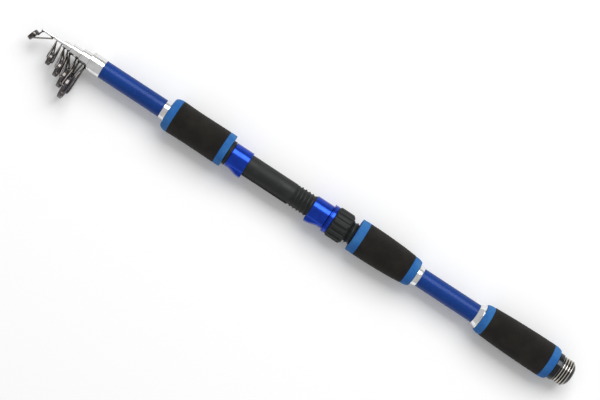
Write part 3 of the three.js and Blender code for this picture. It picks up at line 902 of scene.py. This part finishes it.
class Ring:
    """A guide's ring: where it stands and how far it leans."""

    def __init__(self, x, offset, radius, hole, tilt=0.0):
        self.x, self.offset, self.radius, self.hole = x, offset, radius, hole
        lean = math.radians(tilt)
        self.along = ALONG * math.cos(lean) + GUIDE_WAY * math.sin(lean)
        self.out = GUIDE_WAY * math.cos(lean) - ALONG * math.sin(lean)
        self.centre = in_frame(x, offset, 0) * MM

    def turned(self, corners):
        """An outline turned about the ring's own axis."""
        return lathe(filleted(corners), self.centre, self.along, self.out, 64)

    def hoop(self):
        """The wire hoop: a rolled band."""
        half, outer, inner = HOOP_HALF, self.radius, self.radius - HOOP_WALL
        return self.turned([
            (-half, outer, 0.25), (half, outer, 0.25), (half, inner, 0.1), (-half, inner, 0.1),
        ])

    def ceramic(self):
        """The ceramic ring: two rounded flanges and a barrelled hole."""
        half, lip, groove = CERAMIC_HALF, self.radius - CERAMIC_SUNK, CERAMIC_GROOVE
        floor = self.radius - HOOP_WALL - 0.05
        middle = (self.radius + self.hole) / 2
        wall = self.radius - self.hole
        return self.turned([
            (-half, lip, 0.3), (-groove, lip, 0.15), (-groove, floor), (groove, floor),
            (groove, lip, 0.15), (half, lip, 0.3), (half, middle, wall * 0.3),
            (half * 0.55, self.hole + 0.1, wall * 0.3), (0, self.hole, 1),
            (-half * 0.55, self.hole + 0.1, wall * 0.3), (-half, middle, wall * 0.3),
        ])


def saddle(start, end, radius, half_angle, thickness):
    """A curved foot that rests on a ferrule: a strip of a tube with softened edges."""
    steps = 12
    soft = 0.25
    corners = []
    for x, inset in ((start, soft), (start + soft, 0), (end - soft, 0), (end, soft)):
        strip = []
        for i in range(steps + 1):
            angle = half_angle * (2 * i / steps - 1) * (1 - inset * 0.4)
            edge = thickness * (1 - inset) * (1 - 0.6 * abs(2 * i / steps - 1) ** 4)
            strip.append((x, radius + edge, angle))
        for i in range(steps, -1, -1):
            strip.append((x, radius, half_angle * (2 * i / steps - 1) * (1 - inset * 0.4)))
        corners.append(strip)
    points = [
        in_frame(x, r * math.cos(angle), r * math.sin(angle)) * MM
        for strip in corners for x, r, angle in strip
    ]
    count = len(corners[0])
    faces = []
    for k in range(len(corners) - 1):
        for i in range(count):
            j = (i + 1) % count
            faces.append((k * count + i, k * count + j, (k + 1) * count + j, (k + 1) * count + i))
    faces.append(list(range(count)))
    faces.append([(len(corners) - 1) * count + i for i in range(count)])
    return points, faces


def fork(ring, gauge, seat, foot_x, angle, direction):
    """Two wires from one foot round both sides of a ring to the outside of its hoop."""
    clear_x = ring.x + direction * (LEG_AT + gauge)
    reach = ring.radius + gauge * WIRE_BITE
    hold_y = ring.offset + reach * math.sin(math.radians(angle))
    hold_z = reach * math.cos(math.radians(angle))
    waist_y = (seat + ring.offset) / 2 - ring.radius / 5
    return [
        wire([
            in_frame(foot_x, seat, side * gauge * 0.35),
            in_frame((foot_x + clear_x) / 2, waist_y, side * hold_z * 0.6),
            in_frame(clear_x, hold_y - gauge, side * hold_z),
            in_frame(ring.x + direction * HOLD_AT, hold_y, side * hold_z),
        ], gauge)
        for side in (-1, 1)
    ]


def add_guide(section, ring, gauge, ferrule, rear_foot, front_foot, prop_foot):
    """A line guide: hoop, rear fork, front fork, prop, and a foot under each fork."""
    seat = ferrule + gauge + WIRE_REST
    near = ring.offset - ring.radius + HOOP_WALL / 2
    foot = min(1.0, ferrule * 0.3)
    parts = [
        ring.hoop(),
        *fork(ring, gauge, seat, rear_foot, 24, -1),
        *fork(ring, gauge, seat, front_foot, -4, 1),
        wire([in_frame(prop_foot, seat, 0), in_frame(ring.x, near, 0)], gauge),
    ]
    for x in (rear_foot, front_foot):
        parts.append(saddle(x - foot, x + foot, ferrule + 0.03, FOOT_ANGLE, FOOT_WALL))
    piece(f"{section}_guide_frame", merged(*parts), look="dark_toned_chrome")
    piece(f"{section}_guide_ring", ring.ceramic())


def add_section(section, start, end, rear, front, rear_bore, front_bore):
    """A tapered section blank: open ended, with a rounded rear rim."""
    turned(f"{section}_blank", [
        (start, rear, 0.2), (end, front, 0.1), (end, front_bore, 0.05), (start, rear_bore, 0.15),
    ])


def add_sections():
    """The four middle sections, each with its ferrule and its guide."""
    add_section("section_2", 35.7, 456.5, 6.25, 5.4, 5.4, 4.55)
    add_ferrule("section_2_ferrule", 448.7, 456.7, 5.9, 5.47)
    add_section("section_3", 36.7, 465.5, 4.45, 3.95, 3.8, 3.3)
    add_ferrule("section_3_ferrule", 457, 465.7, 4.4, 4.01)
    add_section("section_4", 37.7, 472.5, 3.2, 2.5, 2.7, 2)
    add_ferrule("section_4_ferrule", 466, 472.7, 2.9, 2.57)
    add_section("section_5", 38.7, 481.3, 1.9, 1.12, 1.55, 0.77)
    add_ferrule("section_5_ferrule", 473, 481.5, 1.4, 1.19)
    add_guide("section_2", Ring(453.8, 27.05, 10.75, 8.4), 0.72, 5.9, 449.6, 455.6, 452.6)
    add_guide("section_3", Ring(459.1, 22.75, 8.5, 6.5), 0.66, 4.4, 458.6, 464.6, 464.6)
    add_guide("section_4", Ring(466, 18.55, 7.15, 5.4), 0.6, 2.9, 467.3, 470.8, 470.8)
    add_guide("section_5", Ring(475.65, 15.8, 5.45, 3.95), 0.55, 1.4, 474.1, 478.7, 478.7)


TIP_TUBE_RADIUS = 1.05
TIP_LEAN = -20  # degrees: the side of the tip ring away from the rod leans forwards


def tip_wire(ring, foot_x, height, gauge, side):
    """One wire of the tip-top, from its tube to a height on one side of the leaning ring."""
    lean = ring.x - height * math.tan(math.radians(TIP_LEAN))
    hold_z = math.sqrt(ring.radius ** 2 - height ** 2) + gauge * WIRE_BITE
    foot = in_frame(foot_x, TIP_TUBE_RADIUS + WIRE_REST + gauge, side * 0.3)
    clear = in_frame(lean - LEG_AT - gauge, ring.offset + height - gauge, side * hold_z)
    hold = in_frame(lean, ring.offset + height, side * hold_z)
    return wire([foot, (foot + clear) / 2, clear, hold], gauge)


def add_tip():
    """The solid tip section with its tube, leaning ring, wires and pads."""
    turned("tip_section_blank", [(39.7, 0), (39.7, 0.67, 0.2), (492.6, 0.55, 0.2), (492.6, 0)])
    tube = [
        (481.8, 0.9, 0.1), (482.6, TIP_TUBE_RADIUS, 0.2), (492.2, TIP_TUBE_RADIUS, 0.2),
        (493, 0.95, 0.2),
    ]
    turned("tip_top_tube", bored(tube, 0.67, 0.03))
    ring = Ring(496.7, 7.3, 4.7, 2.3, TIP_LEAN)
    wires = []
    for side in (-1, 1):
        wires.append(tip_wire(ring, 492.1, -1.2, 0.45, side))
        wires.append(tip_wire(ring, 482.7, 2.2, 0.62, side))
    pads = [
        saddle(start, end, TIP_TUBE_RADIUS + 0.01, 1.2, 0.35)
        for start, end in ((481.9, 484.6), (490.6, 492.9))
    ]
    piece("tip_top_frame", merged(ring.hoop(), *wires, *pads), look="dark_toned_chrome")
    piece("tip_top_ring", ring.ceramic())


add_camera()
add_light()
add_floor()
add_butt_blank()
add_butt_cap()
add_grips()
add_reel_seat()
add_sections()
add_tip()
